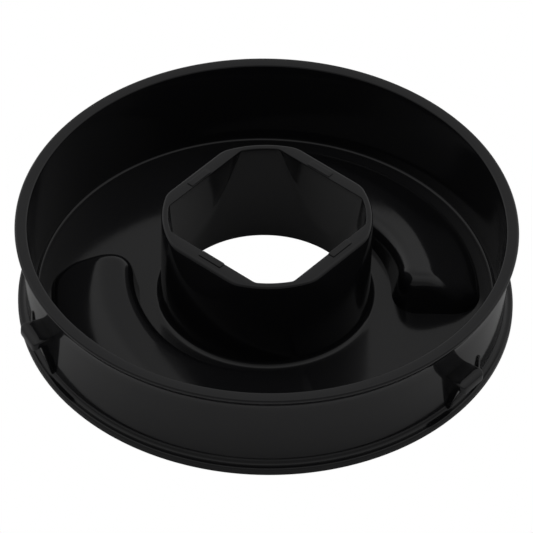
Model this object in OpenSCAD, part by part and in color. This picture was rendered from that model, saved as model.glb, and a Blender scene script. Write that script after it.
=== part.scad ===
// Blender lid plug, moulded in one piece: a shallow cup with an open hub in
// its middle, two curved ramps on its floor and three lugs on its wall.
// Millimetres, +Z up. The origin is on the axis of the hub, at the base.

/* [Cup] */
// Diameter over the lip at the top of the wall
lip_d = 90; // [86:1:96]
// Height of the lip above the base
cup_h = 18.7; // [16:0.1:22]
// Inner diameter of the cup at its floor
cup_inner_d = 82.6; // [81:0.2:84]
// Lean of the wall, in degrees
wall_draft = 5; // [3:0.5:6]
// Thickness of the wall, the floor and the skin over the ramps
skin = 1.6; // [1.2:0.1:2]
// Step of the floor's underside above the base
floor_step = 0.3; // [0.2:0.1:0.6]
// Diameter of the flange round the foot of the wall
flange_d = 88.2; // [87.4:0.2:90]

/* [Hub] */
// Outer diameter of the hub
hub_d = 37.7; // [36:0.1:39]
// Height of the hub above the base
hub_h = 21; // [19:0.5:24]
// Diameter of the round bore at the foot of the hub
bore_d = 34.3; // [33:0.1:35]
// Height of the round bore
bore_h = 4; // [3:0.5:6]
// Distance between opposite outer flats at the top of the hub
flat_outer = 34.4; // [34:0.1:36]
// Distance between opposite inner flats at the top of the hub
flat_inner = 29.2; // [28:0.1:31]
// Lean of the outer flats, in degrees
flat_lean = 18; // [12:1:30]
// Height of the pads on the top of the hub
pad_h = 0.2; // [0.1:0.1:0.6]

/* [Ramps] */
// Height of a ramp above the floor at its blunt end
ramp_h = 6.55; // [4:0.05:8]
// Angle over which a ramp falls to the floor
ramp_sweep = 113; // [90:1:125]
// Radius of the outer foot of a ramp
ramp_outer_r = 38.7; // [37:0.1:39.5]
// Radius of the inner foot of a ramp at its blunt end
ramp_inner_r = 22.6; // [22:0.1:24]
// Steepness of the sides of a ramp, in degrees
ramp_side = 77; // [70:1:82]

/* [Lugs] */
// Height of the top of each lug above the base
lug_z = 11.2; // [9:0.1:13]
// Radius of the outer edge of a lug
lug_r = 47.6; // [46.5:0.1:49]
// Length of a lug along its outer edge
lug_len = 6.2; // [5:0.1:8]

/* [Hidden] */
$fn = 96;
land_z = floor_step + skin;
wall_in_r = cup_inner_d / 2;
wall_out_r = wall_in_r + skin;
wall_top_in_r = wall_in_r + (cup_h - land_z) * tan(wall_draft);
lip_r = lip_d / 2;
lip_round = 0.45;
flange_h = 1.5;
foot_w = 1.8;
root_r = 1.2;
bore_r = bore_d / 2;
bore_top_r = bore_r + 0.45;
hub_r = hub_d / 2;
hub_round = 0.7;
hub_root_r = 1.2;
inner_flat_lean = atan((bore_r - flat_inner / 2) / (hub_h - bore_h));
pad_len = 5;
pad_w = 1.3;
// Offset of each pad along its flat, in the order +X, +Y, -X, -Y
pad_shift = [1.9, 0.7, 0.8, 0.3];
// Angle of the blunt end of the first ramp
ramp_turn = 40;
ramp_end_y = 4.8;
ramp_inner_fall = 2.4;
corner_in = 5.2;
corner_out = 4.9;
top_round = 3;
ramp_tail = 3;
sink = 0.1;
eps = 0.01;
lug_t = 1.5;
// Angle of each lug, and the side on which its short rib stands
lug_places = [[1, 1], [124, 1], [248, -1]];
lug_rib_turn = 10;

function smooth(t) = let (c = min(1, max(0, t))) c * c * (3 - 2 * c);

// Least of two values, blended where they are closer than k
function soft_min(a, b, k) = min(a, b) - pow(max(k - abs(a - b), 0), 2) / (4 * k);

// Distance inside a corner of radius r between two edges at distances a and b
function corner_min(a, b, r) = a < r && b < r ? r - norm([r - a, r - b]) : min(a, b);

// Setback of a straight end where a corner of radius r starts d from the side
function corner_back(d, r) = d >= r ? 0 : r - sqrt(max(0, r * r - pow(r - d, 2)));

// Heights above the floor and radii of the ramp, a is the angle past its end
function ramp_top(a) = ramp_h * (1 - a / ramp_sweep);
function inner_foot(a) = ramp_inner_r - ramp_inner_fall * smooth((a - 35) / 75);
function crest_r(a) = 29.6 + (ramp_outer_r - 29.6) * pow(min(1, max(0, a - 10) / (ramp_sweep - 10)), 1.5);
function outer_edge_h(a) = 0.3 + 1.7 * (1 - smooth(a / 45));
function outer_slope(r, a) =
    let (e = min(outer_edge_h(a), ramp_top(a)), r_foot = ramp_outer_r - 0.3)
    e + (ramp_top(a) - e) * (r_foot - r) / max(0.4, r_foot - crest_r(a));

// Height of a side that leans in from its foot and rounds over to a top at h
function side_h(d, h, round_r) =
    let (
        r = max(0.05, min(round_r, h)),
        c = (r + (h - r) * cos(ramp_side)) / sin(ramp_side)
    )
    h <= 0 ? min(h, d * tan(ramp_side)) :
    d < c - r * sin(ramp_side) ? d * tan(ramp_side) :
    d < c ? h - r + sqrt(max(0, r * r - pow(c - d, 2))) : h;

// Distance inside the outline of the ramp when it is set in by inset
function ramp_depth(r, a, inset) =
    corner_min(
        corner_min(r - inner_foot(a) - inset, r * sin(a) + ramp_end_y - inset, corner_in - inset),
        ramp_outer_r - r - inset, corner_out - inset);

// Angle at which the outline set in by inset starts at radius r
function start_angle(r, inset) =
    let (
        back_in = corner_back(r - ramp_inner_r - inset, corner_in - inset),
        back_out = corner_back(ramp_outer_r - r - inset, corner_out - inset)
    )
    asin((inset - ramp_end_y + back_in + back_out) / r);

// Radii across the ramp at angle a, closer together near its sides
function ramp_radii(a, inset, n) =
    let (r0 = inner_foot(max(0, a)) + inset, r1 = ramp_outer_r - inset, rc = min(crest_r(a), r1 - 0.8), w = min(4.5, rc - r0 - 1.5))
    [
        for (i = [0 : n]) r0 + w * pow(i / n, 2),
        r0 + w + (rc - 0.5 - r0 - w) / 2,
        rc - 0.5,
        rc,
        rc + 0.4,
        for (i = [n - 1 : -1 : 0]) r1 - (r1 - rc - 0.4) * pow(i / n, 2)
    ];

// Rows of points over the ramp: a height field that starts at its blunt end
function ramp_rows(inset, drop, tail, n, m) = [
    for (j = [0 : n + m])
        let (
            g = j < n ? 0.075 * pow(j / n, 2) : 0.075 + 0.925 * (j - n) / m,
            a_row = g * ramp_sweep
        )
        [
            for (r = ramp_radii(a_row, inset, n))
                let (
                    a0 = start_angle(r, inset),
                    a = a0 + (ramp_sweep + tail - a0) * g,
                    h = soft_min(ramp_top(a), outer_slope(r, a), 0.8),
                    z = side_h(ramp_depth(r, a, inset) - sink, h, top_round - inset)
                )
                [r * cos(a), r * sin(a), land_z - drop + z]
        ]
];

// Closed solid under the rows, down to height z_low
module solid_under(rows, z_low) {
    m = len(rows);
    n = len(rows[0]);
    top = [for (row = rows) for (p = row) p];
    low = [for (p = top) [p[0], p[1], z_low]];
    t = m * n;
    rim = concat(
        [for (i = [0 : n - 1]) i],
        [for (j = [1 : m - 1]) j * n + n - 1],
        [for (i = [n - 2 : -1 : 0]) (m - 1) * n + i],
        [for (j = [m - 2 : -1 : 1]) j * n]);
    k = len(rim);
    polyhedron(
        points = concat(top, [for (i = rim) low[i]]),
        faces = concat(
            [for (j = [0 : m - 2]) for (i = [0 : n - 2]) [j * n + i, (j + 1) * n + i, (j + 1) * n + i + 1]],
            [for (j = [0 : m - 2]) for (i = [0 : n - 2]) [j * n + i, (j + 1) * n + i + 1, j * n + i + 1]],
            [for (i = [0 : k - 1]) [rim[i], rim[(i + 1) % k], t + (i + 1) % k, t + i]],
            [[for (i = [0 : k - 1]) t + i]]));
}

// Floor, wall, lip and flange as one turned profile
module cup_shell() {
    rotate_extrude()
        difference() {
            polygon([
                [0, floor_step],
                [flange_d / 2 - foot_w, floor_step],
                [flange_d / 2 - foot_w, 0],
                [flange_d / 2 - 0.4, 0],
                [flange_d / 2, 0.4],
                [flange_d / 2, flange_h - 0.4],
                [flange_d / 2 - 0.3, flange_h],
                [wall_out_r + 0.15, flange_h + 0.9],
                [wall_out_r + 0.1, flange_h + 1.4],
                [wall_out_r + 0.9, cup_h - 2],
                [lip_r - 0.3, cup_h - 0.9],
                [lip_r, cup_h - 0.5],
                [lip_r - 0.25, cup_h - 0.1],
                [lip_r - 0.6, cup_h],
                [wall_top_in_r + lip_round, cup_h],
                [wall_top_in_r, cup_h - lip_round],
                [wall_in_r, land_z],
                [0, land_z]
            ]);
        }
}

// Outside of the hub with its fillet at the floor and four leaning flats
module hub_outside() {
    difference() {
        rotate_extrude() {
            translate([0, 0])
                square([hub_r, hub_h - hub_round]);
            square([hub_r - hub_round, hub_h]);
            translate([hub_r - hub_round, hub_h - hub_round])
                circle(hub_round);
            difference() {
                translate([0, land_z - eps])
                    square([hub_r + hub_root_r, hub_root_r + eps]);
                translate([hub_r + hub_root_r, land_z + hub_root_r])
                    circle(hub_root_r);
            }
        }
        for (a = [0 : 90 : 270])
            rotate([0, 0, a])
                translate([flat_outer / 2, -hub_r, hub_h])
                    rotate([0, -flat_lean, 0])
                        translate([0, 0, -hub_h])
                            cube([hub_r, 2 * hub_r, 2 * hub_h]);
    }
}

// Space inside the hub: a round bore that narrows to four flats at the top
module hub_inside() {
    translate([0, 0, -1])
        cylinder(r = bore_r, h = bore_h + 1);
    difference() {
        translate([0, 0, bore_h])
            cylinder(r1 = bore_r, r2 = bore_top_r, h = hub_h - bore_h + 1);
        for (a = [0 : 90 : 270])
            rotate([0, 0, a])
                translate([bore_r, -bore_top_r - 1, bore_h])
                    rotate([0, -inner_flat_lean, 0])
                        cube([bore_r, 2 * bore_top_r + 2, 2 * hub_h]);
    }
}

// Thin pads on the inner half of the hub's top, one over each flat
module hub_pads() {
    for (i = [0 : 3])
        rotate([0, 0, 90 * i])
            translate([flat_inner / 2 + 0.1, pad_shift[i] - pad_len / 2, hub_h - 0.5])
                cube([pad_w, pad_len, 0.5 + pad_h]);
}

// Plan of a lug, with its near corner rounded
module lug_plan() {
    hull() {
        translate([wall_out_r - 0.5, -lug_len * 0.38])
            square([1, lug_len * 0.76]);
        translate([lug_r - 1, lug_len / 2 - 1])
            circle(r = 1, $fn = 32);
        translate([lug_r - 1, -lug_len / 2 + 1])
            circle(r = 1, $fn = 32);
    }
}

// One lug: a plate that droops at its edge, the gusset below it and a rib
module lug(side) {
    intersection() {
        linear_extrude(cup_h)
            lug_plan();
        translate([0, lug_len, 0])
            rotate([90, 0, 0])
                linear_extrude(2 * lug_len)
                    polygon([
                        [wall_out_r - 0.6, lug_z - lug_t],
                        [wall_out_r - 0.6, lug_z],
                        [lug_r - 1.4, lug_z],
                        [lug_r, lug_z - 0.8],
                        [lug_r, lug_z - lug_t - 0.2]
                    ]);
    }
    translate([0, 0.6, 0])
        rotate([90, 0, 0])
            linear_extrude(1.2)
                polygon([
                    [wall_out_r - 0.6, flange_h - 0.3],
                    [flange_d / 2 - 0.5, flange_h - 0.3],
                    [lug_r - 1.2, lug_z - lug_t + 0.1],
                    [wall_out_r - 0.6, lug_z - lug_t + 0.1]
                ]);
    rotate([0, 0, side * lug_rib_turn])
        translate([0, 0.4, 0])
            rotate([90, 0, 0])
                linear_extrude(0.8)
                    polygon([
                        [wall_out_r - 0.6, lug_z - 6.5],
                        [wall_out_r + 1.1, lug_z - 4],
                        [wall_out_r + 1.1, lug_z - 2.6],
                        [wall_out_r - 0.6, lug_z - 2]
                    ]);
}

module lid_plug() {
    color("#161618")
        difference() {
            union() {
                cup_shell();
                hub_outside();
                hub_pads();
                for (turn = [0, 180])
                    rotate([0, 0, ramp_turn + turn])
                        solid_under(ramp_rows(0, 0, ramp_tail, 7, 24), land_z - 1);
                for (place = lug_places)
                    rotate([0, 0, place[0]])
                        lug(place[1]);
            }
            hub_inside();
            for (turn = [0, 180])
                rotate([0, 0, ramp_turn + turn])
                    solid_under(ramp_rows(skin, skin, -8, 4, 14), -1);
        }
}

lid_plug();
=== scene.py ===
# %% [markdown]
# # A blender lid plug in glossy black plastic
# The real thing is one injection moulding: a shallow cup, an open hub with four
# flats, two ramps on the floor and three lugs on the wall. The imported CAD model
# is loaded first, because everything here stands where that model stands.

import math

import bpy
import numpy as np
from mathutils import Matrix, Vector


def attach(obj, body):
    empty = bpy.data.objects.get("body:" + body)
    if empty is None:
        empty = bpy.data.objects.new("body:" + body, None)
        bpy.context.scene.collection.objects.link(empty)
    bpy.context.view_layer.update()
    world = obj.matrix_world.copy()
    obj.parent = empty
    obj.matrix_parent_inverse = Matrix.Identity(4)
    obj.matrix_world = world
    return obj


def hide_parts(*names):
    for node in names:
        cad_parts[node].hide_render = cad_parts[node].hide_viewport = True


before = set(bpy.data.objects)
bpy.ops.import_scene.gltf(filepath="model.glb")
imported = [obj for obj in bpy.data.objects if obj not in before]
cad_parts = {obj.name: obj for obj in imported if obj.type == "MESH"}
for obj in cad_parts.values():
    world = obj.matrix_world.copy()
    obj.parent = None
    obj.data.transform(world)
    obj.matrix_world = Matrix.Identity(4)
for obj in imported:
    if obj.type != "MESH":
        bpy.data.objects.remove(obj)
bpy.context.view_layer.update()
MM = 0.001

# %% [markdown]
# ## Sizes
# The same named sizes that shape the CAD model shape the pieces here, in
# millimetres. Only the edges get finer: a moulding has no sharp edge, and on a
# black glossy part the small roundings are what catches the light.

# %% Sizes of the plug
LIP_R, CUP_H = 45.0, 18.7
WALL_IN_R, WALL_DRAFT, SKIN = 41.3, math.radians(5), 1.6
FLOOR_STEP, FLANGE_R, FLANGE_H, FOOT_W = 0.3, 44.6, 1.5, 2.3
LAND_Z = FLOOR_STEP + SKIN
WALL_OUT_R = WALL_IN_R + SKIN
WALL_TOP_IN_R = WALL_IN_R + (CUP_H - LAND_Z) * math.tan(WALL_DRAFT)
HUB_R, HUB_H, BORE_R, BORE_H, BORE_TOP_R = 18.85, 21.0, 17.15, 4.0, 17.6
FLAT_OUTER, FLAT_INNER, FLAT_LEAN = 17.2, 14.6, math.radians(18)
HUB_ROOT_R = 1.2
RAMP_H, RAMP_SWEEP, RAMP_OUTER_R, RAMP_INNER_R = 6.55, 113.0, 38.7, 22.6
RAMP_SIDE = math.radians(77)
RAMP_TURN, RAMP_END_Y, RAMP_INNER_FALL = 40.0, 4.8, 2.4
CORNER_IN, CORNER_OUT, TOP_ROUND, RAMP_TAIL, SINK = 5.2, 4.9, 3.0, 3.0, 0.1
CREST_R, CREST_TURN, EDGE_LOW, EDGE_DROP, EDGE_TURN = 29.6, 10.0, 0.3, 1.7, 45.0
DRIFT_START, DRIFT_LENGTH = 35.0, 75.0
LUG_R, LUG_LEN, LUG_T = 47.6, 6.2, 1.5
LUG_PLACES = [(1.0, 1, 10.4), (124.0, 1, 11.2), (248.0, -1, 11.8)]

# %% [markdown]
# ## The camera
# The photograph looks down at about 44 degrees from far away with a long lens,
# so the circles of the lip and the foot are nearly true ellipses. The camera is
# built from that: a distance, a height angle and three small turns.

# %% Camera
AZIMUTH, ELEVATION, DISTANCE = math.radians(40), 0.7612, 1.08
YAW, PITCH, ROLL = -0.0002, 0.0056, -0.0203
FOCAL_PX, FRAME_PX, SHIFT_PX = 5985.9, 533, (0.8, 0.0)


def camera_axes():
    """Looks at the origin, then is turned about its own up, right and forward axes in that order."""
    side = Vector((math.sin(AZIMUTH), -math.cos(AZIMUTH), 0))
    place = DISTANCE * (math.cos(ELEVATION) * side + math.sin(ELEVATION) * Vector((0, 0, 1)))
    forward = -place.normalized()
    right = Vector((math.cos(AZIMUTH), math.sin(AZIMUTH), 0))
    up = right.cross(forward)
    for angle, axis in ((YAW, "up"), (PITCH, "right"), (ROLL, "forward")):
        turn = Matrix.Rotation(angle, 3, {"up": up, "right": right, "forward": forward}[axis])
        forward, right, up = turn @ forward, turn @ right, turn @ up
    return place, right, up, forward


place, right, up, forward = camera_axes()
camera = bpy.data.objects.new("camera", bpy.data.cameras.new("camera"))
bpy.context.scene.collection.objects.link(camera)
bpy.context.scene.camera = camera
camera.matrix_world = Matrix((
    (right.x, up.x, -forward.x, place.x),
    (right.y, up.y, -forward.y, place.y),
    (right.z, up.z, -forward.z, place.z),
    (0, 0, 0, 1)))
camera.data.sensor_width = 36
camera.data.lens = 36 * FOCAL_PX / FRAME_PX
camera.data.shift_x = -SHIFT_PX[0] / FRAME_PX
camera.data.shift_y = SHIFT_PX[1] / FRAME_PX
camera.data.clip_start, camera.data.clip_end = 0.05, 20
print("camera lens, mm:", round(camera.data.lens, 1))

# %% [markdown]
# ## Helpers for surfaces
# Every piece is a grid of points worked out as whole arrays. One helper turns
# points and faces into a mesh, and flips the faces if they point inwards, which
# the sign of the enclosed volume tells.


# %% Mesh helpers
def grid_faces(rows, columns, wrap_rows=False, wrap_columns=False):
    """Quads between neighbours of a rows by columns grid of points, numbered row by row."""
    j = np.arange(rows if wrap_rows else rows - 1)[:, None]
    i = np.arange(columns if wrap_columns else columns - 1)[None, :]
    j2, i2 = (j + 1) % rows, (i + 1) % columns
    quads = np.stack(np.broadcast_arrays(
        j * columns + i, j2 * columns + i, j2 * columns + i2, j * columns + i2), -1)
    return quads.reshape(-1, 4)


def volume_of(points, faces):
    """Sum of the signed volumes of the pyramids from the origin to each face's fan of triangles."""
    total = 0.0
    for f in faces:
        p = points[np.asarray(f)]
        for k in range(1, p.shape[-2] - 1):
            a, b, c = p[..., 0, :], p[..., k, :], p[..., k + 1, :]
            total += np.sum(a * np.cross(b, c)) / 6
    return total


def make_piece(name, points, faces, smooth_angle=40.0):
    """points in mm, faces as a list of index arrays (quads in one array, other faces one by one)."""
    if volume_of(points, faces) < 0:
        faces = [np.asarray(f)[..., ::-1] for f in faces]
    polygons = [list(map(int, q)) for f in faces for q in np.atleast_2d(f)]
    mesh = bpy.data.meshes.new(name)
    mesh.from_pydata((points * MM).tolist(), [], polygons)
    mesh.polygons.foreach_set("use_smooth", np.ones(len(polygons), bool))
    mesh.set_sharp_from_angle(angle=math.radians(smooth_angle))
    mesh.validate()
    mesh.update()
    piece = bpy.data.objects.new(name, mesh)
    bpy.context.scene.collection.objects.link(piece)
    print(name, "has", len(points), "points and", len(polygons), "faces")
    return piece


def smooth(t):
    """The curve 3t^2 - 2t^3 between 0 and 1, level outside."""
    c = np.clip(t, 0, 1)
    return c * c * (3 - 2 * c)


def soft_min(a, b, k):
    """The smaller of a and b, blended where they are closer than k."""
    return np.minimum(a, b) - np.maximum(k - np.abs(a - b), 0) ** 2 / (4 * k)


def arc(centre, radius, start, end, count):
    """Points of a circle's arc in the (r, z) plane, angles in degrees, ends included."""
    t = np.radians(np.linspace(start, end, count))
    return np.stack([centre[0] + radius * np.cos(t), centre[1] + radius * np.sin(t)], -1)


def line(start, end, count):
    """Points between two ends in the (r, z) plane, ends left out."""
    t = np.linspace(0, 1, count + 2)[1:-1, None]
    return np.array(start) * (1 - t) + np.array(end) * t


# %% [markdown]
# ## The ramps' plan
# Each ramp has a blunt end with rounded corners, and falls round the hub to the
# floor. Its height is the lowest of the ramp itself, the slope that faces the
# wall and the steep sides, blended where they meet. The floor needs the plan
# too, because the ramp is hollow below and the floor has an opening there.


# %% Ramp functions
def ramp_top(a):
    """Height over the floor at angle a (degrees) past the blunt end: a straight fall to nothing."""
    return RAMP_H * (1 - a / RAMP_SWEEP)


def inner_foot(a):
    """Radius of the inner foot, which drifts inwards over the second half."""
    return RAMP_INNER_R - RAMP_INNER_FALL * smooth((a - DRIFT_START) / DRIFT_LENGTH)


def crest_r(a):
    """Radius of the crest between the top and the outer slope: it spirals out to the outer foot."""
    t = np.clip((a - CREST_TURN) / (RAMP_SWEEP - CREST_TURN), 0, 1)
    return CREST_R + (RAMP_OUTER_R - CREST_R) * t ** 1.5


def outer_slope(r, a):
    """Height of the straight slope from the crest down to a low edge at the outer foot."""
    edge = np.minimum(EDGE_LOW + EDGE_DROP * (1 - smooth(a / EDGE_TURN)), ramp_top(a))
    foot = RAMP_OUTER_R - 0.3
    return edge + (ramp_top(a) - edge) * (foot - r) / np.maximum(0.4, foot - crest_r(a))


def corner_min(a, b, r):
    """Distance inside two edges at distances a and b that meet in a corner of radius r."""
    return np.where((a < r) & (b < r), r - np.hypot(r - a, r - b), np.minimum(a, b))


def ramp_depth(r, a, inset):
    """Distance inside the ramp's outline, set in by inset."""
    t = np.radians(a)
    end = r * np.sin(t) + RAMP_END_Y - inset
    inner = corner_min(r - inner_foot(a) - inset, end, CORNER_IN - inset)
    return corner_min(inner, RAMP_OUTER_R - r - inset, CORNER_OUT - inset)


def side_height(d, h, round_r):
    """Height at distance d inside a side that leans in from its foot and rounds over to a top at h."""
    r = np.clip(np.minimum(round_r, h), 0.05, None)
    c = (r + (h - r) * math.cos(RAMP_SIDE)) / math.sin(RAMP_SIDE)
    rounded = h - r + np.sqrt(np.maximum(0, r * r - np.maximum(c - d, 0) ** 2))
    straight = d * math.tan(RAMP_SIDE)
    z = np.where(d < c - r * math.sin(RAMP_SIDE), straight, rounded)
    return np.where(h <= 0, np.minimum(h, straight), z)


def ramp_height(r, a, inset):
    """Height over the floor of the ramp's skin, or of the hollow below it when inset is the skin."""
    top = soft_min(ramp_top(a), outer_slope(r, a), 0.8)
    return side_height(ramp_depth(r, a, inset) - SINK, top, TOP_ROUND - inset)


# %% [markdown]
# ## Cup and hub
# Floor, wall, lip, flange, foot and hub are one closed profile carried round the
# axis. Spinning a drawn profile would do for the cup, but the hub isn't round at
# the top: its four flats lean away inside and outside. So each profile point
# carries weights for the hub's inner and outer radius at its angle, and the
# surface stays one grid. The cells over the hollow of each ramp are left out.


# %% Profile of the cup and the hub
def hub_outer_r(turn, z):
    """Radius of the hub's outside: a cylinder cut by four leaning flats, with blended corners."""
    t = (turn + math.pi / 4) % (math.pi / 2) - math.pi / 4
    flat = (FLAT_OUTER + (HUB_H - z) * math.tan(FLAT_LEAN)) / np.cos(t)
    return soft_min(HUB_R, flat, 0.5)


def hub_inner_r(turn, z):
    """Radius of the hub's inside: a bore that widens a little, narrowed by four leaning flats."""
    t = (turn + math.pi / 4) % (math.pi / 2) - math.pi / 4
    up_bore = np.clip((z - BORE_H) / (HUB_H - BORE_H), 0, 1)
    flat = (BORE_R - (BORE_R - FLAT_INNER) * up_bore) / np.cos(t)
    cone = BORE_R + (BORE_TOP_R - BORE_R) * up_bore
    return np.where(z <= BORE_H, BORE_R, soft_min(cone, flat, 0.3))


FLOOR_ROWS = 34
floor_radii = np.linspace(HUB_R + HUB_ROOT_R, WALL_IN_R - 0.6, FLOOR_ROWS + 1)
wall_lean = np.array([math.sin(WALL_DRAFT), math.cos(WALL_DRAFT)])


def weighted(points, inner=0.0, outer=0.0):
    """Profile points as rows of inner weight, outer weight, offset and height."""
    p = np.atleast_2d(points)
    return np.column_stack([np.full(len(p), inner), np.full(len(p), outer), p])


def profile():
    """The closed profile, from the foot of the bore up, over the hub, the floor, the wall and back below."""
    inner_edge, outer_edge = 0.3, 0.6
    hub = [
        weighted(np.column_stack([np.zeros(3), [0.0, 2.0, 3.9]]), inner=1),
        weighted(line((0, 3.9), (0, HUB_H - inner_edge), 12), inner=1),
        weighted(arc((inner_edge, HUB_H - inner_edge), inner_edge, 180, 90, 6), inner=1),
        weighted([[0, HUB_H]], inner=0.5, outer=0.5),
        weighted(arc((-outer_edge, HUB_H - outer_edge), outer_edge, 90, 0, 8), outer=1),
        weighted(line((0, HUB_H - outer_edge), (0, HUB_H - 7), 14), outer=1),
        weighted(line((0, HUB_H - 7), (0, LAND_Z + HUB_ROOT_R), 5), outer=1),
        weighted(arc((HUB_ROOT_R, LAND_Z + HUB_ROOT_R), HUB_ROOT_R, 180, 270, 7)[:-1], outer=1),
    ]
    top_in = np.array([WALL_TOP_IN_R, CUP_H])
    fillet = 0.6
    wall_start = np.array([WALL_IN_R, LAND_Z]) + wall_lean * fillet
    cup = [
        weighted(np.column_stack([floor_radii, np.full(FLOOR_ROWS + 1, LAND_Z)])),
        weighted(arc((WALL_IN_R - 0.55, LAND_Z + 0.55), 0.6, 285, 345, 4)),
        weighted(wall_start[None]),
        weighted(line(wall_start, top_in - wall_lean * 0.5, 8)),
        weighted(arc((WALL_TOP_IN_R + 0.41, CUP_H - 0.45), 0.45, 175, 90, 7)),
        weighted(line((WALL_TOP_IN_R + 0.41, CUP_H), (LIP_R - 0.5, CUP_H), 1)),
        weighted(arc((LIP_R - 0.5, CUP_H - 0.5), 0.5, 90, -45, 10)),
        weighted(line((LIP_R - 0.2, CUP_H - 0.9), (WALL_OUT_R + 0.95, CUP_H - 1.9), 3)),
        weighted(line((WALL_OUT_R + 0.95, CUP_H - 1.9), (WALL_OUT_R + 0.15, FLANGE_H + 1.3), 8)),
        weighted(arc((WALL_OUT_R + 1.1, FLANGE_H + 1.0), 1.0, 180, 270, 7)),
        weighted(arc((FLANGE_R - 0.5, FLANGE_H - 0.5), 0.5, 90, 0, 7)),
        weighted(arc((FLANGE_R - 0.3, 0.3), 0.3, 0, -90, 5)),
        weighted(arc((FLANGE_R - FOOT_W + 0.15, 0.15), 0.15, 270, 180, 4)),
        weighted(np.column_stack([floor_radii[::-1], np.full(FLOOR_ROWS + 1, FLOOR_STEP)])),
        weighted([[HUB_R + 0.1, FLOOR_STEP], [HUB_R, FLOOR_STEP - 0.1], [HUB_R - 0.1, 0.0]]),
    ]
    return np.vstack(hub + cup)


TURNS = 400
rows = profile()
turns = np.arange(TURNS) / TURNS * 2 * math.pi
heights = rows[:, 3][:, None] + 0 * turns
radii = (rows[:, 0][:, None] * hub_inner_r(turns, heights)
         + rows[:, 1][:, None] * hub_outer_r(turns, heights) + rows[:, 2][:, None])
cup_points = np.stack([radii * np.cos(turns), radii * np.sin(turns), heights], -1)
print("profile points:", len(rows))


# %% Openings of the floor over the ramps' hollows
def in_hollow(r, turn):
    """True where the floor gives way to a ramp: midway through the thickness of the ramp's side."""
    inside = np.zeros(np.broadcast(r, turn).shape, bool)
    for half in (0, 180):
        a = (np.degrees(turn) - RAMP_TURN - half + 60) % 360 - 60
        inside |= (ramp_depth(r, a, 0) > SKIN / 2) & (a < RAMP_SWEEP - 6.5) & (a > -20)
    return inside


def cup_mesh():
    """The grid without the cells of the openings, and the openings' side walls."""
    top = int(np.flatnonzero((rows[:, 2] == floor_radii[0]) & (rows[:, 3] == LAND_Z))[0])
    low = int(np.flatnonzero((rows[:, 2] == floor_radii[-1]) & (rows[:, 3] == FLOOR_STEP))[0])
    mid_r = (floor_radii[1:] + floor_radii[:-1]) / 2
    mid_turn = turns + math.pi / TURNS
    hole = in_hollow(mid_r[:, None], mid_turn[None, :])
    keep = np.ones((len(rows), TURNS), bool)
    keep[top:top + FLOOR_ROWS] &= ~hole
    keep[low:low + FLOOR_ROWS] &= ~hole[::-1]
    quads = grid_faces(len(rows), TURNS, True, True)[keep.ravel()]
    j, i = np.meshgrid(np.arange(FLOOR_ROWS + 1), np.arange(TURNS), indexing="ij")
    upper, lower = (top + j) * TURNS + i, (low + FLOOR_ROWS - j) * TURNS + i
    closed = np.vstack([np.zeros((1, TURNS), bool), hole, np.zeros((1, TURNS), bool)])
    right_of = np.roll(np.arange(TURNS), -1)
    walls = []
    for inner, outer, flip in ((closed[:-1], closed[1:], True), (closed[1:], closed[:-1], False)):
        edge = inner & ~outer
        q = np.stack([upper, upper[:, right_of], lower[:, right_of], lower], -1)[edge]
        walls.append(q[:, ::-1] if flip else q)
    for shift, flip in ((1, False), (-1, True)):
        edge = hole & ~np.roll(hole, shift, axis=1)
        column = np.arange(TURNS) if shift == 1 else right_of
        q = np.stack([upper[:-1, column], upper[1:, column], lower[1:, column], lower[:-1, column]], -1)[edge]
        walls.append(q[:, ::-1] if flip else q)
    return np.vstack([quads, *walls])


cup = make_piece("cup_and_hub", cup_points.reshape(-1, 3), [cup_mesh()])

# %% [markdown]
# ## The two ramps
# A ramp is a shell: its outer skin and the hollow below it are the same height
# function with another inset. The grid follows the outline, with its lines close
# together where the surface turns, so the blunt end stays crisp.


# %% Ramps
def corner_back(d, r):
    """Setback of a straight end where a corner of radius r starts at distance d from the side."""
    return np.where(d >= r, 0, r - np.sqrt(np.maximum(0, r * r - (r - np.minimum(d, r)) ** 2)))


def start_angle(r, inset):
    """Angle in degrees at which the outline set in by inset starts at radius r."""
    back = (corner_back(r - RAMP_INNER_R - inset, CORNER_IN - inset)
            + corner_back(RAMP_OUTER_R - r - inset, CORNER_OUT - inset))
    return np.degrees(np.arcsin((inset - RAMP_END_Y + back) / r))


def ramp_grid(inset, drop, tail, dense=14, along=64, level=6):
    """Points of the skin as (angle, radius) rows: squares of a step crowd them near the sides."""
    k = np.arange(dense) / dense
    g = np.concatenate([0.075 * k ** 2, np.linspace(0.075, 1, along + 1)])
    a_row = (g * RAMP_SWEEP)[:, None]
    first, last = inner_foot(a_row) + inset, RAMP_OUTER_R - inset
    crest = np.minimum(crest_r(a_row), last - 0.8)
    width = np.minimum(4.5, crest - first - 1.5)
    across = np.concatenate([k ** 2, [1]])[None, :]
    lines = [
        first + width * across,
        first + width + (crest - 0.5 - first - width) * np.linspace(0, 1, level + 1)[None, 1:],
        crest + np.linspace(-0.3, 0.5, 5)[None, :],
        last - (last - crest - 0.5) * across[:, ::-1][:, 1:],
    ]
    r = np.hstack(lines)
    a0 = start_angle(r, inset)
    a = a0 + (RAMP_SWEEP + tail - a0) * g[:, None]
    z = LAND_Z - drop + ramp_height(r, a, inset)
    t = np.radians(a + RAMP_TURN)
    return np.stack([r * np.cos(t), r * np.sin(t), z], -1)


def border(rows_count, columns):
    """Indices round the edge of a grid, one after another."""
    n = np.arange(rows_count * columns).reshape(rows_count, columns)
    return np.concatenate([n[0, :-1], n[:-1, -1], n[-1, :0:-1], n[:0:-1, 0]])


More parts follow.
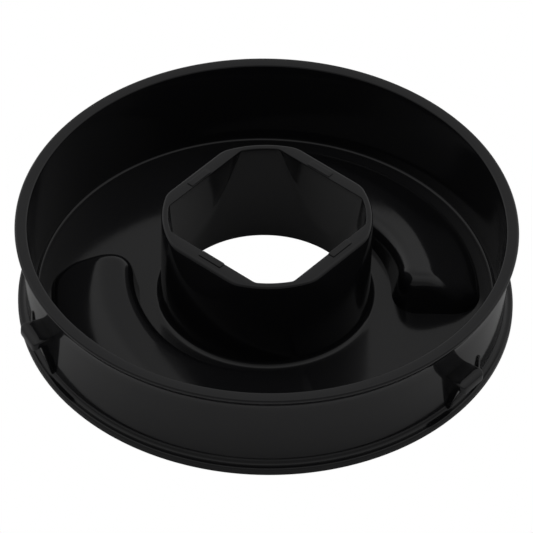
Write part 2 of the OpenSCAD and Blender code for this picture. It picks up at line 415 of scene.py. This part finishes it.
def ramp_mesh():
    """Skin and hollow, joined below by a skirt that stands in the floor and a narrow ring."""
    ring_z = FLOOR_STEP - 0.02
    skin, hollow = ramp_grid(0, 0, RAMP_TAIL), ramp_grid(SKIN, SKIN, -8)
    hollow[..., 2] = np.maximum(hollow[..., 2], ring_z)
    m, n = skin.shape[:2]
    loop = border(m, n)
    skirt = skin.reshape(-1, 3)[loop]
    skirt[:, 2] = ring_z
    points = np.vstack([skin.reshape(-1, 3), hollow.reshape(-1, 3), skirt])
    count, k = m * n, len(loop)
    ahead = (np.arange(k) + 1) % k
    low = 2 * count + np.arange(k)
    faces = [
        grid_faces(m, n),
        grid_faces(m, n)[:, ::-1] + count,
        np.stack([loop, loop[ahead], low[ahead], low], -1),
        np.stack([low, low[ahead], count + loop[ahead], count + loop], -1),
    ]
    return points, [np.vstack(faces)]


ramp_points, ramp_faces = ramp_mesh()
back_ramp = make_piece("ramp_back", ramp_points, ramp_faces)
front_ramp = make_piece("ramp_front", ramp_points * [-1, -1, 1], ramp_faces)

# %% [markdown]
# ## Pads and lugs
# The small features are blocks with rounded edges. A block here is an outline
# with round corners, lofted over a quarter-round edge at its top and bottom, and
# it is closed by shrinking the last rings to a point.


# %% Rounded block
def outline(corners, radius, steps=5):
    """A closed outline with its corners cut round: each corner turns on a circle set in by radius."""
    c = np.asarray(corners, float)
    before, after = np.roll(c, 1, 0), np.roll(c, -1, 0)
    u = (before - c) / np.linalg.norm(before - c, axis=1)[:, None]
    v = (after - c) / np.linalg.norm(after - c, axis=1)[:, None]
    half = np.arccos(np.clip(np.sum(u * v, 1), -1, 1)) / 2
    setback = (np.asarray(radius) / np.tan(half))[:, None]
    t = np.linspace(0, 1, steps)[None, :, None]
    p0, p1 = (c + u * setback)[:, None], (c + v * setback)[:, None]
    return ((1 - t) ** 2 * p0 + 2 * t * (1 - t) * c[:, None] + t ** 2 * p1).reshape(-1, 2)


def block(corners, radius, z_low, z_high, edge, rings=5, fill=4):
    """Rings of the outline, drawn in over a round edge at both ends: points (ring, step, xyz) in mm."""
    o = outline(corners, radius)
    centre = (o.max(0) + o.min(0)) / 2
    reach = np.min(np.linalg.norm(o - centre, axis=1))
    t = np.linspace(0, math.pi / 2, rings)
    inset = np.concatenate([edge * (1 - np.sin(t)), edge * (1 - np.cos(t))])
    z = np.concatenate([z_low + edge * (1 - np.cos(t)), z_high - edge * (1 - np.sin(t))])
    scale = 1 - inset / reach
    cap = np.linspace(0, 1, fill + 1)[:-1]
    scale = np.concatenate([cap * scale[0], scale, (cap * scale[-1])[::-1]])
    z = np.concatenate([np.full(fill, z_low), z, np.full(fill, z_high)])
    ring = centre + (o - centre) * np.maximum(scale, 1e-4)[:, None, None]
    return np.concatenate([ring, np.broadcast_to(z[:, None, None], ring.shape[:2] + (1,))], -1)


def turned(points, degrees):
    """Points turned about the hub's axis."""
    c, s = math.cos(math.radians(degrees)), math.sin(math.radians(degrees))
    return points @ np.array([[c, s, 0], [-s, c, 0], [0, 0, 1]])


def joined(blocks):
    """Several closed ring grids as one set of points and faces."""
    points, faces, count = [], [], 0
    for b in blocks:
        m, n = b.shape[:2]
        f = grid_faces(m, n, False, True)
        if volume_of(b.reshape(-1, 3), [f]) < 0:
            f = f[:, ::-1]
        points.append(b.reshape(-1, 3))
        faces.append(f + count)
        count += m * n
    return np.vstack(points), [np.vstack(faces)]


# %% Pads on the hub's top
PAD_LEN, PAD_W, PAD_H, PAD_SHIFT = 5.0, 1.3, 0.2, (1.9, 0.7, 0.8, 0.3)


def pad(index):
    """A thin pad on the inner half of the top of one flat."""
    x0, y0 = FLAT_INNER + 0.15, PAD_SHIFT[index] - PAD_LEN / 2
    corners = [(x0, y0), (x0 + PAD_W, y0), (x0 + PAD_W, y0 + PAD_LEN), (x0, y0 + PAD_LEN)]
    return turned(block(corners, 0.15, HUB_H - 0.4, HUB_H + PAD_H, 0.1), 90 * index)


pads = make_piece("hub_pads", *joined([pad(i) for i in range(4)]))


# %% Lugs
def lug(angle, side, top):
    """A drooping plate, the gusset below it and a short rib beside it, at one place on the wall."""
    root = WALL_OUT_R - 0.6
    near = -side
    plate = block([(root, -2.5), (LUG_R, -LUG_LEN / 2), (LUG_R, LUG_LEN / 2), (root, 2.5)],
                  [0.3, 0.9, 0.9, 0.3], top - LUG_T, top, 0.3)
    droop = np.maximum(plate[..., 0] - (LUG_R - 1.6), 0)
    plate[..., 2] -= 0.3 * droop ** 2
    gusset = block([(root, FLANGE_H - 0.3), (WALL_OUT_R + 0.5, FLANGE_H - 0.3),
                    (LUG_R - 1.6, top - LUG_T + 0.2), (root, top - LUG_T + 0.2)], 0.2, -0.5, 0.5, 0.15)
    gusset = np.stack([gusset[..., 0], near * 1.1 + gusset[..., 2], gusset[..., 1]], -1)
    rib = block([(root, -0.35), (WALL_OUT_R + 0.75, -0.35), (WALL_OUT_R + 0.75, 0.35), (root, 0.35)],
                0.15, FLANGE_H - 0.3, top - 3, 0.25)
    return [turned(b, angle) for b in (plate, gusset)] + [turned(rib, angle + side * 10)]


lugs = make_piece("lugs", *joined([b for place in LUG_PLACES for b in lug(*place)]))

# %% [markdown]
# ## The plastic
# Glossy polypropylene, black all through. The colour is almost nothing; what one
# sees is reflection, so the finish lives in the roughness and in very shallow
# bumps: the slight orange peel of a polished mould and the faint haze of dust
# and handling. Both effects are groups, so that each can be tuned by name.


# %% Shader groups
def new_group(name, inputs, outputs):
    """An empty shader group with float inputs and outputs of the named kinds."""
    tree = bpy.data.node_groups.new(name, "ShaderNodeTree")
    for label, value in inputs.items():
        tree.interface.new_socket(label, in_out="INPUT", socket_type="NodeSocketFloat").default_value = value
    for label, kind in outputs.items():
        tree.interface.new_socket(label, in_out="OUTPUT", socket_type=kind)
    return tree, tree.nodes.new("NodeGroupInput"), tree.nodes.new("NodeGroupOutput")


def haze_group():
    """Roughness from two sizes of noise: broad handling haze and fine speckle."""
    tree, entry, leave = new_group(
        "moulded_haze", {"Base": 0.15, "Spread": 0.05}, {"Roughness": "NodeSocketFloat"})
    place = tree.nodes.new("ShaderNodeTexCoord")
    broad, fine = (tree.nodes.new("ShaderNodeTexNoise") for _ in range(2))
    broad.inputs["Scale"].default_value, broad.inputs["Detail"].default_value = 60, 4
    fine.inputs["Scale"].default_value, fine.inputs["Detail"].default_value = 900, 3
    mix = tree.nodes.new("ShaderNodeMath")
    mix.operation = "MULTIPLY"
    centre = tree.nodes.new("ShaderNodeMath")
    centre.operation = "MULTIPLY_ADD"
    for noise in (broad, fine):
        tree.links.new(place.outputs["Object"], noise.inputs["Vector"])
    tree.links.new(broad.outputs["Fac"], mix.inputs[0])
    tree.links.new(fine.outputs["Fac"], mix.inputs[1])
    tree.links.new(mix.outputs[0], centre.inputs[0])
    tree.links.new(entry.outputs["Spread"], centre.inputs[1])
    tree.links.new(entry.outputs["Base"], centre.inputs[2])
    tree.links.new(centre.outputs[0], leave.inputs["Roughness"])
    return tree


def peel_group():
    """A very shallow bump: the slow waves of a polished mould."""
    tree, entry, leave = new_group(
        "mould_peel", {"Depth": 0.02}, {"Normal": "NodeSocketVector"})
    place = tree.nodes.new("ShaderNodeTexCoord")
    noise = tree.nodes.new("ShaderNodeTexNoise")
    noise.inputs["Scale"].default_value, noise.inputs["Detail"].default_value = 350, 2
    bump = tree.nodes.new("ShaderNodeBump")
    bump.inputs["Distance"].default_value = 0.0002
    tree.links.new(place.outputs["Object"], noise.inputs["Vector"])
    tree.links.new(noise.outputs["Fac"], bump.inputs["Height"])
    tree.links.new(entry.outputs["Depth"], bump.inputs["Strength"])
    tree.links.new(bump.outputs["Normal"], leave.inputs["Normal"])
    return tree


# %% The material
def plastic():
    """Black plastic with a clear gloss: low roughness and a plain dielectric reflection."""
    material = bpy.data.materials.new("glossy_black_plastic")
    material.use_nodes = True
    tree = material.node_tree
    shader = tree.nodes["Principled BSDF"]
    shader.inputs["Base Color"].default_value = (0.0110, 0.0110, 0.0122, 1)
    shader.inputs["IOR"].default_value = 1.5
    haze, peel = (tree.nodes.new("ShaderNodeGroup") for _ in range(2))
    haze.node_tree, peel.node_tree = haze_group(), peel_group()
    haze.inputs["Base"].default_value, haze.inputs["Spread"].default_value = 0.08, 0.16
    peel.inputs["Depth"].default_value = 0.03
    tree.links.new(haze.outputs["Roughness"], shader.inputs["Roughness"])
    tree.links.new(peel.outputs["Normal"], shader.inputs["Normal"])
    return material


black = plastic()
for piece in (cup, back_ramp, front_ramp, pads, lugs):
    piece.data.materials.append(black)
    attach(piece, "root")
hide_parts("lid_plug")
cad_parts["lid_plug"].data.materials.clear()
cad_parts["lid_plug"].data.materials.append(black)

# %% [markdown]
# ## Floor and light
# A white sweep seen as pure white by the camera, and a soft sky that is bright
# behind and above the plug and dimmer towards the front. No lamp stands in it,
# because on black gloss a lamp shows as a hard patch. The plug's level faces
# mirror the sky behind it, and its upright faces mirror the floor.


# %% Floor
def floor_material():
    """Pale floor: the camera sees it white, and reflections see its true shade with the shadow."""
    material = bpy.data.materials.new("white_sweep")
    material.use_nodes = True
    tree = material.node_tree
    shader = tree.nodes["Principled BSDF"]
    shader.inputs["Base Color"].default_value = (0.94, 0.94, 0.94, 1)
    shader.inputs["Roughness"].default_value = 0.8
    white = tree.nodes.new("ShaderNodeEmission")
    path, mix = tree.nodes.new("ShaderNodeLightPath"), tree.nodes.new("ShaderNodeMixShader")
    tree.links.new(path.outputs["Is Camera Ray"], mix.inputs["Fac"])
    tree.links.new(shader.outputs["BSDF"], mix.inputs[1])
    tree.links.new(white.outputs["Emission"], mix.inputs[2])
    tree.links.new(mix.outputs["Shader"], tree.nodes["Material Output"].inputs["Surface"])
    return material


half = 1.5
floor_mesh = bpy.data.meshes.new("floor")
corners = [(-half, -half, 0), (half, -half, 0), (half, half, 0), (-half, half, 0)]
floor_mesh.from_pydata(corners, [], [(0, 1, 2, 3)])
floor = bpy.data.objects.new("floor", floor_mesh)
bpy.context.scene.collection.objects.link(floor)
floor.location.z = -0.0002
floor.data.materials.append(floor_material())


# %% Sky
def sky():
    """World light by direction: how far a direction points away from the camera and upwards."""
    world = bpy.data.worlds.new("studio")
    bpy.context.scene.world = world
    world.use_nodes = True
    tree = world.node_tree
    place = tree.nodes.new("ShaderNodeTexCoord")
    lean = tree.nodes.new("ShaderNodeVectorMath")
    lean.operation = "DOT_PRODUCT"
    away = Vector((-math.sin(AZIMUTH), math.cos(AZIMUTH), 0))
    lean.inputs[1].default_value = away * 0.72 + Vector((0, 0, 0.69))
    ramp = tree.nodes.new("ShaderNodeValToRGB")
    ramp.color_ramp.interpolation = "EASE"
    elements = ramp.color_ramp.elements
    elements[0].color, elements[1].color = (*[0.18] * 3, 1), (*[0.36] * 3, 1)
    for position, level in ((0.35, 0.36), (0.75, 0.50)):
        elements.new(position).color = (*[level] * 3, 1)
    path = tree.nodes.new("ShaderNodeLightPath")
    mix = tree.nodes.new("ShaderNodeMix")
    mix.data_type = "RGBA"
    mix.inputs["B"].default_value = (1, 1, 1, 1)
    back = tree.nodes["Background"]
    tree.links.new(place.outputs["Generated"], lean.inputs[0])
    tree.links.new(lean.outputs["Value"], ramp.inputs["Fac"])
    tree.links.new(path.outputs["Is Camera Ray"], mix.inputs["Factor"])
    tree.links.new(ramp.outputs["Color"], mix.inputs["A"])
    tree.links.new(mix.outputs["Result"], back.inputs["Color"])


sky()

# %% Colour handling
bpy.context.scene.view_settings.view_transform = "Standard"
